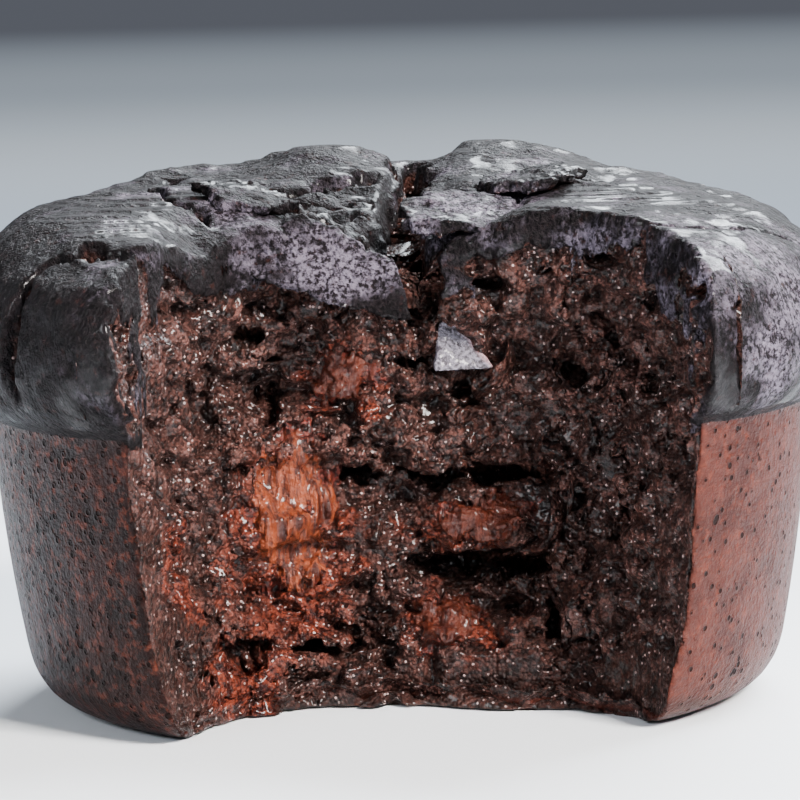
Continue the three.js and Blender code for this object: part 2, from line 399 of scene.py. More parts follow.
def volume_piece(name, voxel, low, high, build):
    """Makes a piece from a formula that is above 0 inside it."""
    began = time.time()
    tree = bpy.data.node_groups.new(name, "GeometryNodeTree")
    tree.interface.new_socket("Geometry", in_out="OUTPUT", socket_type="NodeSocketGeometry")
    p = position_mm(tree)
    solid, kept = build(tree, p)
    density = (solid / (EDGE_VOXELS * voxel) + 0.5).maths("MINIMUM", 1).maths("MAXIMUM", 0)
    size = [int(round((b - a) / voxel)) + 1 for a, b in zip(low, high)]
    cube = node(tree, "GeometryNodeVolumeCube", {}, {
        "Density": density, "Background": 0.0,
        "Min": [v * MM for v in low], "Max": [v * MM for v in high],
        "Resolution X": size[0], "Resolution Y": size[1], "Resolution Z": size[2]})
    shell = node(tree, "GeometryNodeVolumeToMesh", {"resolution_mode": "GRID"},
                 {"Volume": cube, "Threshold": 0.5, "Adaptivity": 0.0})
    for key, value in kept.items():
        shell = node(tree, "GeometryNodeStoreNamedAttribute", {"data_type": "FLOAT", "domain": "POINT"},
                     {"Geometry": shell, "Name": key, "Value": value})
    end = tree.nodes.new("NodeGroupOutput")
    tree.links.new(shell.socket, end.inputs[0])
    piece = linked(name, bpy.data.meshes.new(name))
    alone(piece)
    modifier = piece.modifiers.new("volume", "NODES")
    modifier.node_group = tree
    bpy.ops.object.modifier_apply(modifier="volume")
    piece.data.materials.clear()
    keep_largest(piece)
    made = triangles(piece)
    if made > MOST_TRIANGLES:
        apply(piece, "DECIMATE", decimate_type="COLLAPSE", ratio=MOST_TRIANGLES / made)
    alone(piece)
    bpy.ops.object.shade_smooth()
    print(name, made, "->", triangles(piece), "triangles,", round(time.time() - began, 1), "s")
    return piece


def keep_largest(piece):
    """Drops the specks that float free of a piece and the bubbles shut inside it."""
    mesh = piece.data
    count = len(mesh.vertices)
    edges = np.empty(len(mesh.edges) * 2, int)
    mesh.edges.foreach_get("vertices", edges)
    edges = edges.reshape(-1, 2)
    label = np.arange(count)
    while True:
        low = np.minimum(label[edges[:, 0]], label[edges[:, 1]])
        new = label.copy()
        np.minimum.at(new, edges[:, 0], low)
        np.minimum.at(new, edges[:, 1], low)
        new = new[new]
        if (new == label).all():
            break
        label = new
    kinds, sizes = np.unique(label, return_counts=True)
    drop = label != kinds[sizes.argmax()]
    mesh.vertices.foreach_set("select", drop)
    mesh.edges.foreach_set("select", drop[edges].all(1))
    alone(piece)
    bpy.ops.object.mode_set(mode="EDIT")
    bpy.ops.mesh.select_mode(type="VERT")
    bpy.ops.mesh.delete(type="VERT")
    bpy.ops.object.mode_set(mode="OBJECT")


# %% [markdown]
# ## Crumb
# The torn face is the heart of the look. Cake tears in clods a few millimetres across, each made
# of smaller bits, with bubbles between them and a few flat splits where one layer of batter lay on
# another. The cake is solid where a point is behind the torn face, under the crust and inside the
# side, all at once. Lumps, clods and bits move the torn face in and out, and bubbles and splits are
# taken away. Only a slab behind the face is kept, since nobody sees deeper. It comes in four pieces
# so that each stays light.

# %% Crumb
SLAB = 3.4  # how deep the crumb is kept behind the torn face
SPLIT_DEPTH = 0.8  # how far behind that face the middle of a split lies


def surfaces(tree, p):
    """Depth of a point behind the torn face, under the crust and inside the side wall, in mm."""
    x, y, z = p.axes()
    yf, facing = read(tree, front_map, ["depth", "square"],
                      (x - XS[0]) / STEP, (z - ZS[0]) / STEP, front.shape)
    zt, level = read(tree, top_map, ["depth", "square"],
                     (x - XS[0]) / STEP, (y - YS[0]) / STEP, top.shape)
    turn = y.maths("ARCTAN2", x)
    u = (turn - AROUND[0]) / (AROUND[1] - AROUND[0])
    radius, = read(tree, side_map, ["depth"], u, (z - ZS[0]) / STEP, side.shape)
    reach = (x * x + y * y).maths("SQRT")
    return (y - yf) * facing, (zt - z) * level, radius - reach


def bend_of(tree, p, size, offset=(0, 0, 0)):
    """A smooth wandering, as a vector of about half a millimetre each way for each 1 of strength."""
    moved = p.vector("ADD", offset)
    wander = node(tree, "ShaderNodeTexNoise", {"noise_dimensions": "3D"},
                  {"Vector": moved, "Scale": 1 / size, "Detail": 2.0, "Roughness": 0.6}, "Color")
    return wander.vector("SUBTRACT", (0.5, 0.5, 0.5))


CLOD = 3.3  # how wide a clod of torn cake is
BIT = 1.3  # how wide the smaller bits on it are
CLOD_BEND = 2.6  # how wide the wanderings are that make the clods uneven


def clods_of(tree, p, bend):
    """Big lumps, clods and bits of torn cake, each as a height."""
    flat = p.vector("MULTIPLY", (1.0, 1.0, 1.35))
    lumps = noise(tree, flat, 8.0, 2, 0.6) * 5.5
    clods = 0.5 - cells(tree, flat.vector("ADD", bend.scaled(4.0)), CLOD) / CLOD
    bits = 0.5 - cells(tree, p.vector("ADD", bend.scaled(2.0)), BIT, offset=(5, 9, 2)) / BIT
    return lumps, clods, bits


def crumb_bumps(tree, p, bend):
    """How far the torn crumb stands out. Clods of cake, made of smaller clods, made of grains."""
    lumps, clods, bits = clods_of(tree, p, bend)
    grains = noise(tree, p, 0.55, 1, 0.6)
    return lumps + clods * 2.8 + bits * 1.5 + grains * 0.9


def crumb_holes(tree, p, bend):
    """Below 0 inside the bubbles that the batter rose with."""
    flat = p.vector("MULTIPLY", (0.85, 1.0, 1.5)).vector("ADD", bend.scaled(2.0))
    big = 0.20 - noise(tree, flat, 4.4, 2, 0.55, (3, 1, 7))
    small = 0.17 - noise(tree, p, 1.5, 2, 0.6, (9, 4, 2))
    return (big * 9).maths("MINIMUM", small * 4)


def ball(p, centre, size):
    """Below 0 inside an ellipsoid, in mm at its narrowest."""
    away = p.vector("SUBTRACT", centre).vector("DIVIDE", size)
    return (away.length() - 1) * min(size)


def spread(p, centre, size):
    """1 at a place, falling smoothly to 0 at an ellipsoid around it."""
    away = p.vector("SUBTRACT", centre).vector("DIVIDE", size)
    return 1 - away.length().between(0.0, 1.0)


def path(tree, p, points):
    """How far a point is from a bent line."""
    nearest = None
    for start, end in zip(points, points[1:]):
        along = Vector(end) - Vector(start)
        off = p.vector("SUBTRACT", start)
        share = node(tree, "ShaderNodeVectorMath", {"operation": "DOT_PRODUCT"}, [off, along], "Value")
        share = (share / along.length_squared).maths("MAXIMUM", 0).maths("MINIMUM", 1)
        nearest_on_it = node(tree, "ShaderNodeVectorMath", {"operation": "SCALE"},
                             {"Vector": along, "Scale": share})
        gap = off.vector("SUBTRACT", nearest_on_it).length()
        nearest = gap if nearest is None else nearest.maths("MINIMUM", gap)
    return nearest


# Splits and hollows of the torn face: where across and how high, then half sizes across, deep and high.
SPLITS = [
    (-3, 19.4, (4.5, 5, 0.7)), (7.5, 19.0, (7.4, 6, 1.35)), (7, 11.2, (6.8, 6, 1.5)),
    (12.6, 7, (0.8, 5, 2.6)), (-13.7, 5.1, (2.4, 4, 1.7)), (-6, 4.8, (4.8, 4, 0.75)),
    (5.4, 26.4, (0.9, 3, 0.7)), (1, 28.8, (1.1, 3, 0.9)), (15, 27.8, (1.7, 3, 1.2)),
    (21, 28, (0.7, 3, 1.2)), (17.5, 23.4, (1.3, 3, 1.2)), (17.5, 19, (4.5, 2.2, 6)),
    (-11.6, 26, (1.5, 3, 2)), (-12.5, 32, (0.9, 3, 1.3)),
]
TOP_SPLITS = [
    (7.5, 35.6, (1.6, 3, 0.8)), (20.5, 34.5, (1, 3, 1.2)), (17, 37.9, (2.0, 4, 0.55)),
    (12.7, 36.8, (0.8, 3, 0.8)), (2.6, 35, (1.3, 4, 3.2)),
]


def torn_solid(tree, p, depth, edge, slits=True):
    """The torn face: bumps, bubbles and the long slits between the layers of crumb."""
    bend = bend_of(tree, p, CLOD_BEND)
    solid = depth + crumb_bumps(tree, p, bend) * (edge * 0.85 + 0.15)
    if slits:
        solid = solid.maths("MINIMUM", crumb_holes(tree, p, bend) + (1 - edge) * 2.0)
    wavy = p.vector("ADD", bend.scaled(4.2))
    for x, z, size in [*SPLITS, *TOP_SPLITS] if slits else TOP_SPLITS:
        centre = (x, float(bite_face(x, z)) + SPLIT_DEPTH, z)
        solid = solid.maths("MINIMUM", ball(wavy, centre, size))
    return solid


def crumb_field(inside):
    def build(tree, p):
        depth, under, within = surfaces(tree, p)
        edge = within.between(0.3, 3.0) * under.between(0.2, 1.5)
        solid = torn_solid(tree, p, depth, edge)
        solid = solid.maths("MINIMUM", SLAB - depth)
        solid = solid.maths("MINIMUM", under - 1.1 + noise(tree, p, 2.0, 2) * 1.2)
        solid = solid.maths("MINIMUM", within - 0.3 + noise(tree, p, 2.2, 3, 0.6, (1, 8, 1)) * 1.6)
        solid = solid.maths("MINIMUM", p.axes()[2] - 0.15)
        solid = solid.maths("MINIMUM", inside(tree, p))
        return solid, {"depth": depth, "under": under}
    return build


def cut(axis, low=None, high=None):
    """Keeps what lies between two wavering planes across an axis."""
    def inside(tree, p):
        place = p.axes()[axis] + noise(tree, p, 4.0, 4, 0.6, offset=(5, 5, 5)) * 11.0
        if low is None:
            return high - place
        if high is None:
            return place - low
        return (place - low).maths("MINIMUM", high - place)
    return inside


def both(one, other):
    return lambda tree, p: one(tree, p).maths("MINIMUM", other(tree, p))


VOXEL = 0.24
FINE = 0.2
LEFT_END, RIGHT_END, MIDDLE = -11.5, 13.5, 21.0  # where the four pieces of crumb meet
PATCHES = {
    "crumb_left": ((-25, -33, 0), (-8, -4, 42), cut(0, high=LEFT_END)),
    "crumb_right": ((10, -33, 0), (28, -4, 42), cut(0, low=RIGHT_END)),
    "crumb_low": ((-15, -20, 0), (17, 4, 25), both(cut(0, LEFT_END, RIGHT_END), cut(2, high=MIDDLE))),
    "crumb_high": ((-15, -20, 17), (17, 4, 42), both(cut(0, LEFT_END, RIGHT_END), cut(2, low=MIDDLE))),
}
crumbs = [volume_piece(name, VOXEL, low, high, crumb_field(inside))
          for name, (low, high, inside) in PATCHES.items()]

# %% [markdown]
# ## Crown
# The crust of the crown rose over the rim of the tin, folded and cracked as it dried. It is a
# shell about 2.6 mm thick with a soft roll over the rim. A wide fissure runs back from the bite,
# finer cracks cross the lobes, and near the fissure the crust broke into shards. The same rule cuts
# it off at the bite, so that crust and crumb tear along one line.

# %% Crown
LAYER = 2.6  # how thick the crust is
# Cracks from above, as bent lines in mm.
FISSURE = [
    (2.6, -11, 0), (2.0, -6, 0), (0.6, -1, 0), (0.9, 4, 0), (2.0, 9, 0), (0.5, 15, 0), (2.5, 22, 0),
]
LOBE_CRACK = [(-37, -21, 0), (-32, -24, 0), (-28.5, -21.5, 0), (-24.7, -22, 0), (-19, -23, 0)]
RIDGE_CRACK = [
    (8, -12.5, 0), (10, -15, 0), (13, -16.5, 0), (19.5, -17.5, 0), (25, -17.5, 0), (30, -14, 0),
    (36, -10, 0),
]
BACK_CRACK = [(-30, 6, 0), (-22, 3, 0), (-15, 6, 0), (-9, 4, 0), (-2, 7, 0)]
LEFT_CRACK = [(-16, -9, 0), (-20, -4, 0), (-22, 4, 0), (-19, 11, 0)]
RIGHT_CRACK = [(5, 1.5, 0), (11, -1, 0), (17, 2, 0), (24, 0, 0), (31, 3, 0)]
# Each crack with its half width at the top and how deep it goes.
CRACKS = [
    (FISSURE, 1.45, 6.5), (LOBE_CRACK, 0.9, 3.4), (RIDGE_CRACK, 0.45, 1.6),
    (BACK_CRACK, 0.7, 2.6), (LEFT_CRACK, 0.6, 2.2), (RIGHT_CRACK, 0.6, 2.4),
]


def crown_shape(tree, p, under):
    """The crust's folds and cracks, as a change to how deep under the crust a point is."""
    plan = p.vector("MULTIPLY", (1, 1, 0))
    wavy = plan.vector("ADD", bend_of(tree, plan, 2.8, (2, 2, 2)).vector("MULTIPLY", (5, 5, 0)))
    swell = noise(tree, p, 11.0, 2) * 1.6 + noise(tree, p, 3.4, 4, 0.62) * 1.4
    rough = spread(plan, (-6, -1.5, 0), (13, 9, 1))
    rough = rough.maths("MAXIMUM", spread(plan, (6, -3, 0), (9, 8, 1)))
    shards = 0.45 - cells(tree, p, 1.9, offset=(7, 7, 1)) / 1.9
    under = under + swell + rough * (shards * 2.6 + noise(tree, p, 0.9, 2) * 1.4 - 1.5)
    cracks = None
    for line, width, deep in CRACKS:
        groove = path(tree, wavy, line) - (1 - under / deep) * width
        cracks = groove if cracks is None else cracks.maths("MINIMUM", groove)
    return under, cracks


def crown_field(inside, torn=True):
    def build(tree, p):
        depth, under, within = surfaces(tree, p)
        z = p.axes()[2]
        shaped, cracks = crown_shape(tree, p, under)
        rim = noise(tree, p, 9.0, 2, 0.5, (4, 1, 1)) * 1.2
        rim = rim + noise(tree, p, 2.6, 3, 0.55, (4, 1, 1)) * 0.7
        roll = within + rim * z.between(25.8, 28) + z.between(24.8, 25.4) * 0.3 - 0.3
        skin = shaped.maths("MINIMUM", roll)
        solid = skin.maths("MINIMUM", cracks)
        if torn:
            face = torn_solid(tree, p, depth, skin.between(0.0, 1.6), slits=False)
            solid = solid.maths("MINIMUM", face + 0.1)
        solid = solid.maths("MINIMUM", LAYER - skin)
        solid = solid.maths("MINIMUM", z - 24.4)
        solid = solid.maths("MINIMUM", inside(tree, p))
        return solid, {"depth": depth, "under": skin}
    return build


COARSE = 0.31
CROWN = {
    "crust_left": ((-40, -37, 24), (4, 6, 48), both(cut(0, high=-0.5), cut(1, high=3)), COARSE),
    "crust_right": ((-4, -37, 24), (40, 6, 48), both(cut(0, low=-0.5), cut(1, high=3)), COARSE),
    "crust_back": ((-40, -3, 24), (40, 40, 49), cut(1, low=3), COARSE * 1.3),
}
crowns = [volume_piece(name, voxel, low, high, crown_field(inside, torn=name != "crust_back"))
          for name, (low, high, inside, voxel) in CROWN.items()]

# %% [markdown]
# ## Flap
# When the bite was taken, a sheet of crust lifted and now hangs in front of the crumb. It is a thin
# leaning sheet with a ragged outline: a peak at its left, a slope to the right and a torn point.

# %% Flap
def flap_field(tree, p):
    x, y, z = p.axes()
    jag = noise(tree, p, 2.0, 4, 0.75) * 3.4
    rise = (x * 0.62 + 46.9).maths("MINIMUM", 37.7 - x * 0.55).maths("MINIMUM", 37.6 - x * 3.7)
    foot = 33.2 - x * 0.3
    sheet = y + 12.6 - (z - 33.5) * 0.62 + noise(tree, p, 5.0, 2) * 1.6
    wrinkle = noise(tree, p, 0.9, 3, 0.6) * 0.5
    thick = (0.6 - sheet.maths("ABSOLUTE") + wrinkle) * 0.85
    solid = thick.maths("MINIMUM", rise - z + jag).maths("MINIMUM", z - foot + jag)
    return solid, {"depth": sheet * -1, "under": sheet + 0.6}


flap = volume_piece("crust_flap", FINE, (-16, -16, 30), (4, -4, 43), flap_field)

# %% [markdown]
# ## Plates
# Beside the fissure lie loose plates of crust that the rising batter pushed up. Each is a thin
# ragged disc that follows the crown, apart from the front one, which lies level and overhangs.

# %% Plates
def plate_field(centre, half, level):
    def build(tree, p):
        depth, under, _ = surfaces(tree, p)
        if level:
            _, y, z = p.axes()
            under = 39.9 + (y + 8) * 0.33 - z
        ragged = p.vector("ADD", bend_of(tree, p, 2.2, (6, 2, 3)).scaled(4.0))
        rim = ball(ragged.vector("MULTIPLY", (1, 1, 0)), (*centre, 0), (*half, 1)) * min(half) * -1
        sheet = under + 0.45 + noise(tree, p, 3.2, 3, 0.6, (2, 2, 9)) * 1.5
        solid = (0.5 - sheet.maths("ABSOLUTE") + noise(tree, p, 0.7, 2) * 0.5).maths("MINIMUM", rim)
        return solid, {"depth": depth, "under": sheet + 0.5}
    return build


# Middle from above, half widths, and whether it lies level, in mm.
PLATES = {
    "crust_plate_front": ((5.2, -4.4), (4.9, 3.9), True),
    "crust_plate_right": ((12.0, 0.6), (4.4, 3.0), False),
    "crust_plate_left": ((-12.5, -4.5), (4.0, 3.0), False),
}
plates = []
for name, (centre, half, level) in PLATES.items():
    low = (centre[0] - half[0] - 2, centre[1] - half[1] - 2, 36)
    high = (centre[0] + half[0] + 2, centre[1] + half[1] + 2, 46)
    plates.append(volume_piece(name, FINE, low, high, plate_field(centre, half, level)))

# %% [markdown]
# ## Chocolate
# Lumps of chocolate melted in the oven and were drawn out by the bite. Each coats the crumb as a
# skin that is thick in its middle and thins out in bits at its edge. The one at the left hung down,
# so it has long upright strands; the one on the ledge was pulled sideways.

# %% Chocolate
def smear_field(box, reach, sag, rise, lumpy):
    """Melted chocolate: it coats the crumb as a skin, thick in its middle, drawn out in strands."""
    low, high = box
    middle = [(a + b) / 2 for a, b in zip(low, high)]
    half = [(b - a) / 2 + reach for a, b in zip(low, high)]
    middle[2] = middle[2] + rise
    half[2] = half[2] + abs(rise)

    def build(tree, p):
        depth = surfaces(tree, p)[0]
        bend = bend_of(tree, p, CLOD_BEND)
        lumps, clods, bits = clods_of(tree, p, bend)
        strands = noise(tree, p.vector("MULTIPLY", sag), 0.9, 2, 0.5) * 1.5
        ragged = p.vector("ADD", bend.scaled(5.0))
        ragged = ragged.vector("ADD", bend_of(tree, p, 0.9, (3, 3, 3)).scaled(3.0))
        cover = spread(ragged, middle, [half[0], 14, half[2]]).between(0.0, 0.6)
        solid = depth + lumps + clods * (0.9 * lumpy) + bits * (0.4 * lumpy)
        solid = solid + (cover * 1.7 - 0.9) + strands
        solid = solid.maths("MINIMUM", cover * 4.0 - 0.3).maths("MINIMUM", 2.4 - depth - lumps)
        return solid, {"depth": depth, "cover": cover}
    return build


# How far past its lump it reaches, how it is stretched, how much higher it sits, how lumpy it is.
SMEARS = {
    "melted_chocolate_streak": (2.5, (1.3, 0.9, 0.10), 2.2, 0.45),
    "melted_chocolate_top_pocket": (1.6, (0.7, 0.7, 0.4), 0, 1.3),
    "melted_chocolate_shelf": (1.1, (0.25, 0.7, 0.9), -0.9, 1.3),
    "melted_chocolate_low_pocket": (1.6, (0.4, 0.7, 0.6), 0, 1.3),
}
chocolates = []
for name, (reach, sag, rise, lumpy) in SMEARS.items():
    box = [[v / MM for v in corner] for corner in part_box(name)]
    low = (box[0][0] - reach, box[0][1] - 4, box[0][2] - reach)
    high = (box[1][0] + reach, box[1][1] + 3, box[1][2] + reach + 2 * max(rise, 0))
    short = name.removeprefix("melted_chocolate_")
    field = smear_field(box, reach, sag, rise, lumpy)
    chocolates.append(volume_piece("smear_" + short, FINE, low, high, field))

# %% [markdown]
# ## Flake
# One flake of crust broke off and stuck to the crumb just below the fissure: a small leaning
# triangle, thin and slightly curled, with nibbled edges.

# %% Flake
def flake_field(tree, p):
    x, y, z = p.axes()
    jag = noise(tree, p, 1.4, 3, 0.7) * 0.9
    sheet = y + 6.6 - (z - 28) * 0.25 - (x - 5) * 0.15 + noise(tree, p, 2.5, 2) * 0.7
    thick = 0.42 - sheet.maths("ABSOLUTE") + noise(tree, p, 0.6, 2) * 0.3
    left = x - 3.0 - (z - 28.4) * 0.12
    right = 8.0 - x - (z - 28.4) * 0.75
    solid = thick.maths("MINIMUM", left + jag).maths("MINIMUM", right + jag)
    solid = solid.maths("MINIMUM", z - 28.3 + jag * 0.5)
    return solid.maths("MINIMUM", 33.2 - z + jag), {"depth": sheet * -1, "under": sheet + 0.5}


flake = volume_piece("flake", 0.12, (1, -9.5, 27), (10, -3, 35), flake_field)

# %% [markdown]
# ## Body
# The side and the base took their shape from the tin, so a copy of the plain model is right for
# them. It is remeshed evenly and smoothed. Where it would show through the crumb or the crust it is
# pushed in by a few millimetres, following the same clods, so that holes look into cake.

# %% Body
BODY_VOXEL = 0.42
BEHIND_CRUST = 2.9  # how far the body is pushed in under the crown's crust
BEHIND_CRUMB = 2.2  # and behind the torn crumb


def shape_tree(name, build):
    """Nodes that push a mesh along its normals and keep what the push was made from."""
    tree = bpy.data.node_groups.new(name, "GeometryNodeTree")
    tree.interface.new_socket("Geometry", in_out="INPUT", socket_type="NodeSocketGeometry")
    tree.interface.new_socket("Geometry", in_out="OUTPUT", socket_type="NodeSocketGeometry")
    start = Wire(tree.nodes.new("NodeGroupInput").outputs[0])
    p = position_mm(tree)
    push, kept = build(tree, p)
    normal = node(tree, "GeometryNodeInputNormal", {}, {})
    offset = normal.scaled(push * MM)
    shell = start
    for key, value in kept.items():
        shell = node(tree, "GeometryNodeStoreNamedAttribute", {"data_type": "FLOAT", "domain": "POINT"},
                     {"Geometry": shell, "Name": key, "Value": value})
    moved = node(tree, "GeometryNodeSetPosition", {}, {"Geometry": shell, "Offset": offset})
    end = tree.nodes.new("NodeGroupOutput")
    tree.links.new(moved.socket, end.inputs[0])
    return tree


muffin = copy_of("muffin", "muffin")
apply(muffin, "REMESH", mode="VOXEL", voxel_size=BODY_VOXEL * MM)
apply(muffin, "SMOOTH", factor=0.5, iterations=4)
# %% [markdown]
# ## Where the body is torn
# The body must know which of its points lie in the bite. In mesh work by hand you would select those
# faces. Here they are found by their place: inside the round of the tin, near the bite, and not on the
# base. The mask is stored on the points for the push and for the finish.

# %% Where the body is torn
mesh = muffin.data
count = len(mesh.vertices)
places = np.empty(count * 3)
normals = np.empty(count * 3)
mesh.vertices.foreach_get("co", places)
mesh.vertices.foreach_get("normal", normals)
places = places.reshape(-1, 3) / MM
normals = normals.reshape(-1, 3)
x, y, z = places.T
reach = np.hypot(x, y)
wall = np.interp(z, ZS, outer)
in_bite = (y < 2) & (np.abs(x - 1.2) < 26)
low_torn = (z < RIM) & (reach < wall - 0.9)
high_torn = (z >= RIM) & (reach < wall - 2.4) & ((normals[:, 2] < 0.5) | (z < 32))
base = (z < 0.7) & (normals[:, 2] < -0.7)
lip = (z < 2.5) & (y - bite_face(x, z) < 1.8) & (reach < wall - 0.9)
torn = in_bite & (((low_torn | high_torn) & ~base) | lip)
mesh.attributes.new("torn", "FLOAT", "POINT").data.foreach_set("value", torn.astype(float))


def body_push(tree, p):
    torn = node(tree, "GeometryNodeInputNamedAttribute", {"data_type": "FLOAT"}, {"Name": "torn"})
    torn = node(tree, "GeometryNodeBlurAttribute", {"data_type": "FLOAT"},
                {"Value": torn, "Iterations": 2})
    crown = p.axes()[2].between(RIM - 0.2, RIM + 0.8)
    bend = bend_of(tree, p, CLOD_BEND)
    behind = torn * (BEHIND_CRUMB - crumb_bumps(tree, p, bend) * 0.4)
    push = (crown * BEHIND_CRUST).maths("MAXIMUM", behind) * -1
    return push, {"torn": torn}


modifier = muffin.modifiers.new("push", "NODES")
modifier.node_group = shape_tree("push", body_push)
alone(muffin)
bpy.ops.object.modifier_apply(modifier="push")
pushed = np.empty(len(muffin.data.vertices) * 3)
muffin.data.vertices.foreach_get("co", pushed)
pushed[2::3] = np.maximum(pushed[2::3], 0)  # nothing goes through the table
muffin.data.vertices.foreach_set("co", pushed)
made = triangles(muffin)
if made > MOST_TRIANGLES:
    apply(muffin, "DECIMATE", decimate_type="COLLAPSE", ratio=MOST_TRIANGLES / made)
alone(muffin)
bpy.ops.object.shade_smooth()
print("muffin", made, triangles(muffin))


# %% [markdown]
# ## Materials
# Crumb, crust, side and melted chocolate are all nearly black-brown, so what tells them apart is
# the small scale: grains that each have their own shade, painted glints that stand in for sparkle, a pale
# dusty bloom on the crust, pits on the side. Every finish is three things, colour, roughness and relief,
# and two finishes blend where one turns into the other, such as crust into crumb at a torn edge.

# %% Materials
def blend(tree, share, low, high):
    """A colour between two others. Each may be three numbers or a colour that was made before."""
    mix = tree.nodes.new("ShaderNodeMix")
    mix.data_type = "RGBA"
    for place, value in ((0, share), (6, low), (7, high)):
        if isinstance(value, Wire):
            tree.links.new(value.socket, mix.inputs[place])
        else:
            mix.inputs[place].default_value = (*value, 1) if place else value
    return Wire(mix.outputs[2])


def mottle(tree, p, size, detail=2.0, roughness=0.5, offset=(0, 0, 0)):
    return noise(tree, p, size, detail, roughness, offset) + 0.5


def bump(tree, height, distance):
    return node(tree, "ShaderNodeBump", {},
                {"Height": height, "Distance": distance * MM, "Strength": 1.0})


def finish_material(name, build):
    made = bpy.data.materials.new(name)
    made.use_nodes = True
    tree = made.node_tree
    shader = tree.nodes["Principled BSDF"]
    p = node(tree, "ShaderNodeTexCoord", {}, {}, "Object").scaled(1 / MM)
    for key, value in build(tree, p).items():
        if isinstance(value, Wire):
            tree.links.new(value.socket, shader.inputs[key])
        else:
            shader.inputs[key].default_value = value
    return made


def attribute(tree, name):
    return node(tree, "ShaderNodeAttribute", {"attribute_name": name}, {}, "Fac")


def grains_of(tree, p, size, offset=(0, 0, 0)):
    """Grains: how near a point is to its grain's middle, and a number that each grain keeps."""
    moved = p.vector("ADD", offset)
    grain = node(tree, "ShaderNodeTexVoronoi", {"feature": "F1"}, {"Vector": moved, "Scale": 1 / size})
    keep = grain.socket.node.outputs["Color"]
    return 1 - grain, Wire(keep).axes()[0]


# %% [markdown]
# ## Crumb, crust and side
# Crumb is painted dark in its hollows and lighter on what stands out, as painted shade and painted light,
# and it turns red and wet near the chocolate, with painted glints on a few grains. Crust has flecks of
# pale bloom, painted paler at spots where light gives it a sheen and fainter on the shaded left lobe. The
# side has soft blotches and small pits with a raised edge, the pits painted dark as painted shade, and it
# is painted paler to the right, where light falls on it.

# %% Crumb, crust and side
# Where melted chocolate soaked the crumb: middle and half sizes, in mm.
RED_PLACES = [((-9, -11, 13), (10, 12, 14)), ((-5, -9, 27.5), (6, 9, 5)), ((5, -9, 14.5), (9, 9, 4)),
              ((4, -9, 7), (8, 9, 4)), ((-13, -14, 4), (7, 9, 6)), ((-17, -20, 14), (5, 6, 7))]


def crumb_parts(tree, p):
    """Colour, roughness and relief of the torn crumb."""
    # Painted shade and painted light: crumb deep in a hollow is painted darker and crumb that stands out
    # is painted lighter, and grains are painted lighter in their middles than at their edges.
    painted_light_by_depth = (-attribute(tree, "depth")).between(-1.6, 1.8)
    patches = mottle(tree, p, 2.4, 3).between(0.38, 0.62)
    round_one, kept = grains_of(tree, p, 0.36)
    shade = (kept * 0.5 + round_one * 0.35 + mottle(tree, p, 0.9, 2) * 0.6 - 0.38).between(0.08, 0.66)
    dark = blend(tree, patches, (0.0045, 0.0016, 0.0013), (0.011, 0.0036, 0.0026))
    light = blend(tree, patches, (0.060, 0.019, 0.013), (0.150, 0.062, 0.050))
    colour = blend(tree, shade * (painted_light_by_depth * 0.7 + 0.3), dark, light)
    bent = p.vector("ADD", bend_of(tree, p, 2.5).scaled(9))
    red = None
    for centre, size in RED_PLACES:
        one = spread(bent, centre, size)
        red = one if red is None else red.maths("MAXIMUM", one)
    red = red.between(0.10, 0.6)
    wet_crumb = blend(tree, shade, (0.018, 0.0022, 0.0014), (0.19, 0.034, 0.016))
    colour = blend(tree, red * 0.85, colour, wet_crumb)
    # Painted glints: a few grains are painted pale pink, painted highlights that stand in for light
    # sparkling on wet crumb.
    painted_glint, lucky = grains_of(tree, p, 0.26, (4, 4, 4))
    where = mottle(tree, p, 1.7, 2, 0.5, (8, 8, 8)).between(0.45, 0.65)
    painted_glint = (lucky + where * 0.05).between(0.96, 0.975) * painted_glint.between(0.45, 0.65)
    colour = blend(tree, painted_glint * 0.7, colour, (0.50, 0.36, 0.34))
    height = mottle(tree, p, 0.5, 3, 0.65) * 0.6 + round_one * 0.8 + mottle(tree, p, 0.13, 2, 0.6) * 0.35
    rough = 0.22 + mottle(tree, p, 0.7, 2, 0.5, (7, 7, 7)) * 0.35
    return colour, rough, height


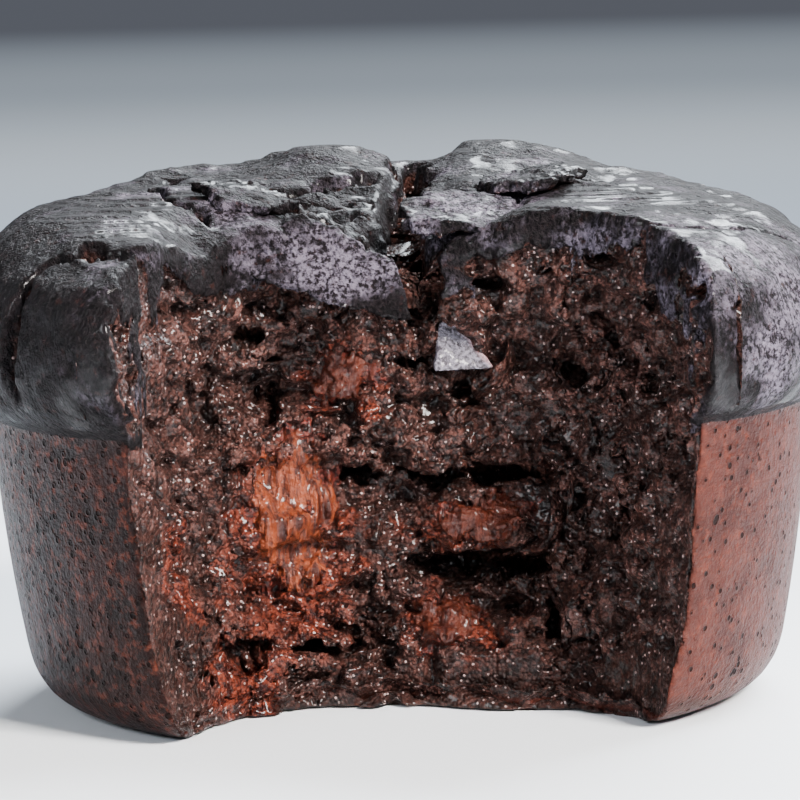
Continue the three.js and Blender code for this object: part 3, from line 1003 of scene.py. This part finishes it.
def crust_parts(tree, p):
    """Colour, roughness and relief of the baked crust: nearly black, leathery, with a pale bloom."""
    # Painted sheen: at these spots the bloom is painted paler, where the light catches the crust.
    painted_sheen = spread(p, (29, -20, 34), (14, 14, 14))
    painted_sheen = painted_sheen.maths("MAXIMUM", spread(p, (-6, -10, 37), (12, 5, 8)))
    painted_sheen = painted_sheen.maths("MAXIMUM", spread(p, (15, -15, 39.5), (10, 6, 4)))
    painted_sheen = painted_sheen.maths("MAXIMUM", spread(p, (6, -3, 41), (10, 9, 6)))
    # Painted shade: here the bloom is painted fainter, on the shaded left lobe and at the middle of the
    # top. These spots are also made glossier.
    moist_painted_shade = spread(p, (-32, -20, 33), (14, 18, 14))
    moist_painted_shade = moist_painted_shade.maths("MAXIMUM", spread(p, (-6, 0, 41), (13, 8, 7)))
    bloom = (mottle(tree, p, 5.0, 4, 0.65, (9, 2, 5)) + painted_sheen * 0.30 - moist_painted_shade * 0.25).between(0.50, 0.80)
    broad = mottle(tree, p, 1.6, 3, 0.7, (6, 6, 1))
    fleck = (mottle(tree, p, 0.42, 3, 0.7) * 0.7 + broad * 0.3).between(0.42, 0.58)
    pale = blend(tree, fleck, (0.0075, 0.0048, 0.0062), (0.155, 0.130, 0.168))
    black = blend(tree, fleck, (0.0018, 0.0012, 0.0014), (0.0085, 0.0058, 0.0068))
    colour = blend(tree, bloom, black, pale)
    rust = mottle(tree, p, 0.9, 3, 0.65, (2, 8, 4)).between(0.58, 0.78)
    colour = blend(tree, rust * 0.4, colour, (0.055, 0.016, 0.011))
    folds = noise(tree, p.vector("MULTIPLY", (1, 1.3, 0.6)), 1.3, 4, 0.6).maths("ABSOLUTE")
    height = mottle(tree, p, 0.33, 3, 0.7) * 0.9 + folds * -3.2 + mottle(tree, p, 2.4, 3, 0.6) * 1.5
    rough = 0.46 + mottle(tree, p, 1.5, 3) * 0.3 - moist_painted_shade * 0.14
    return colour, rough, height


def side_parts(tree, p):
    """Colour, roughness and relief of the side that the tin shaped, with its small pits."""
    blotch = mottle(tree, p, 5.0, 4, 0.6).between(0.35, 0.65)
    warm = mottle(tree, p, 0.8, 3, 0.65, (3, 3, 3)).between(0.48, 0.72)
    # Painted light: the side is painted paler towards the right, where the light falls on it.
    painted_light_right = (p.axes()[0] + noise(tree, p, 9.0, 2) * 20).between(-25, 25)
    colour = blend(tree, blotch, (0.0042, 0.0011, 0.0009), (0.0145, 0.0036, 0.0026))
    painted_lit_side = blend(tree, blotch, (0.033, 0.0082, 0.0056), (0.064, 0.0170, 0.0118))
    colour = blend(tree, painted_light_right, colour, painted_lit_side)
    colour = blend(tree, warm * 0.5, colour, (0.15, 0.036, 0.020))
    size = (mottle(tree, p, 2.0, 1) - 0.26) * 0.66
    pits = (size - cells(tree, p, 0.95)).between(-0.06, 0.06)
    rims = (size + 0.12 - cells(tree, p, 0.95)).between(-0.06, 0.06)
    # Painted shade: the pits are painted nearly black, the shade in their hollows.
    colour = blend(tree, pits * 0.9, colour, (0.0035, 0.0014, 0.0012))
    height = mottle(tree, p, 0.35, 3, 0.6) * 0.6 + rims * 0.25 - pits * 1.2 + mottle(tree, p, 2.5, 2) * 1.0
    rough = 0.33 + pits * 0.3 + mottle(tree, p, 0.6, 2) * 0.18
    return colour, rough, height


# %% [markdown]
# ## Finishes
# Each piece gets one finish. Where crust is torn, the finish turns from crust to crumb by the depth
# that was stored on its points. Melted chocolate is glossy, lets a little light in and is drawn out in
# upright strands.

# %% Finishes
def mixed(tree, share, one, other):
    """Blends two finishes: colour, roughness and relief alike."""
    return (blend(tree, share, one[0], other[0]),
            one[1] * (1 - share) + other[1] * share,
            one[2] * (1 - share) + other[2] * share)


def finished(tree, parts, wet, gloss, distance=0.45):
    colour, rough, height = parts
    return {"Base Color": colour, "Roughness": rough, "Coat Weight": wet, "Coat Roughness": 0.12,
            "IOR": 1.4, "Specular IOR Level": gloss, "Normal": bump(tree, height, distance)}


def crumb_look(tree, p):
    return finished(tree, crumb_parts(tree, p), 0.22, 0.22)


def crown_look(tree, p):
    under = attribute(tree, "under")
    front_roll = spread(p, (15, -16, 38), (9, 9, 6)).between(0.05, 0.4) * 1.6
    crumby = (under + noise(tree, p, 0.9, 3, 0.6) * 1.2 - front_roll).between(0.75, 1.25)
    shine = mottle(tree, p, 3.5, 3, 0.6, (5, 1, 8)).between(0.46, 0.66) * 0.24
    wet = crumby * 0.22 + (1 - crumby) * shine
    return finished(tree, mixed(tree, crumby, crust_parts(tree, p), crumb_parts(tree, p)), wet, 0.12)


def body_look(tree, p):
    wobble = noise(tree, p, 3.0, 2)
    above = (p.axes()[2] + wobble).between(RIM - 0.4, RIM + 0.2)
    torn = attribute(tree, "torn").between(0.3, 0.6).maths("MAXIMUM", above)
    return finished(tree, mixed(tree, torn, side_parts(tree, p), crumb_parts(tree, p)), torn * 0.22, 0.13)


def chocolate_look(tree, p):
    cover = attribute(tree, "cover")
    strand = noise(tree, p.vector("MULTIPLY", (1.0, 1.0, 0.13)), 0.62, 4, 0.65) + 0.5
    streak = spread(p, (-9.4, -8, 14.5), (8, 10, 11)).between(0.0, 0.3)
    rich = blend(tree, streak, (0.085, 0.016, 0.007), (0.20, 0.039, 0.012))
    deep = blend(tree, strand.between(0.40, 0.60), (0.030, 0.0040, 0.0015), rich)
    speck = mottle(tree, p, 0.4, 2).between(0.4, 0.65)
    red = blend(tree, speck, (0.014, 0.0018, 0.0012), (0.13, 0.022, 0.014))
    melted = (cover + noise(tree, p, 1.3, 4, 0.65) * 1.5).between(0.42, 0.60)
    colour = blend(tree, melted, red, deep)
    height = strand * 1.1 + mottle(tree, p, 0.4, 3) * 0.7
    return {"Base Color": colour, "Roughness": 0.30 + mottle(tree, p, 0.8, 2) * 0.26, "Coat Weight": 0.22,
            "Specular IOR Level": 0.25, "Coat Roughness": 0.14, "Subsurface Weight": 0.1,
            "Subsurface Scale": 0.8 * MM,
            "Subsurface Radius": (1.0, 0.35, 0.15), "Normal": bump(tree, height, 0.4)}


def flake_look(tree, p):
    fleck = mottle(tree, p, 0.3, 3, 0.7).between(0.38, 0.62)
    colour = blend(tree, fleck, (0.035, 0.028, 0.035), (0.20, 0.18, 0.22))
    x, _, z = p.axes()
    rim = (x + z * 0.75 - 28.4 + noise(tree, p, 0.8, 2) * 0.8).between(0.3, 0.9)
    colour = blend(tree, rim * 0.8, colour, (0.36, 0.20, 0.21))
    return {"Base Color": colour, "Roughness": 0.35 + fleck * 0.2, "Coat Weight": 0.2,
            "Normal": bump(tree, mottle(tree, p, 0.3, 3, 0.7), 0.3)}


side_finish = finish_material("tin_side", body_look)
crumb = finish_material("crumb", crumb_look)
crown_finish = finish_material("crown_crust", crown_look)
muffin.data.materials.append(side_finish)
for piece in crumbs:
    piece.data.materials.append(crumb)
for piece in [*crowns, flap, *plates]:
    piece.data.materials.append(crown_finish)
for piece in [muffin, *crumbs, *crowns, flap, *plates]:
    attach(piece, "root")
    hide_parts("muffin")
chocolate = finish_material("melted_chocolate", chocolate_look)
for piece, name in zip(chocolates, SMEARS):
    piece.data.materials.append(chocolate)
    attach(piece, "root")
    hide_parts(name)
flake.data.materials.append(finish_material("flake_crust", flake_look))
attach(flake, "root")
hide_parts("crust_flake")
for sheet in (front_map, top_map, side_map):
    bpy.data.objects.remove(sheet)

# %% [markdown]
# ## Floor and light
# The muffin stands on a pale table. A large window behind it and above gives the bluish sheen on
# the crust, and two small soft lamps in front let the bite be seen. The table's colour is painted darker
# into a grey distance, a painted shade, and far off it shines with a painted glow that depends on how far
# away the table is, and a wall closes the room.

# %% Floor and light
bpy.ops.object.select_all(action="DESELECT")
bpy.ops.mesh.primitive_plane_add(size=60, location=(0, 0, 0))
floor = bpy.context.object
floor.name = "floor"


def floor_look(tree, p):
    x, y, _ = p.axes()
    far = ((x * x + (y + 320) * (y + 320)).maths("SQRT") / 300).maths("LOGARITHM", 10)
    # Painted shade: the table's colour darkens with distance. Farther off, a painted glow takes the place
    # of lit colour.
    near_tone = blend(tree, far.between(0.0, 0.5), (0.83, 0.86, 0.90), (0.17, 0.19, 0.22))
    colour = blend(tree, far.between(0.45, 0.7), near_tone, (0, 0, 0))
    painted_glow = blend(tree, far.between(0.6, 0.95), (0.62, 0.70, 0.79), (0.30, 0.345, 0.40))
    painted_glow = blend(tree, far.between(0.9, 1.5), painted_glow, (0.100, 0.108, 0.130))
    painted_glow = blend(tree, far.between(0.45, 0.7), (0, 0, 0), painted_glow)
    return {"Base Color": colour, "Emission Color": painted_glow, "Emission Strength": 1.0, "Roughness": 0.6,
            "Specular IOR Level": 0.0}


bpy.ops.mesh.primitive_plane_add(size=60, location=(0, 29.5, 20), rotation=(math.pi / 2, 0, 0))
wall = bpy.context.object
wall.name = "wall"
table_finish = finish_material("pale_table", floor_look)
for sheet in (floor, wall):
    sheet.data.materials.append(table_finish)


def lamp(name, place, aim, size, power, colour=(1, 1, 1)):
    light = bpy.data.lights.new(name, "AREA")
    light.energy = power
    light.shape = "RECTANGLE"
    light.size, light.size_y = size
    light.color = colour
    turn = (Vector(aim) - Vector(place)).to_track_quat("-Z", "Y")
    ob = linked(name, light)
    ob.matrix_world = Matrix.Translation(place) @ turn.to_matrix().to_4x4()
    return ob


lamp("window_behind", (3.0, 5.4, 5.4), (0, 0, 0.03), (6.5, 3.5), 3400, (0.88, 0.94, 1))
lamp("fill_right", (0.45, -0.5, 0.5), (0, 0, 0.02), (0.22, 0.22), 27, (1, 0.95, 0.9))
lamp("fill_left", (-0.6, -0.6, 0.5), (0, 0, 0.03), (0.3, 0.3), 5, (0.92, 0.96, 1))
world = bpy.data.worlds.new("room")
bpy.context.scene.world = world
world.use_nodes = True
world.node_tree.nodes["Background"].inputs[0].default_value = (0.72, 0.80, 0.90, 1)
world.node_tree.nodes["Background"].inputs[1].default_value = 0.27
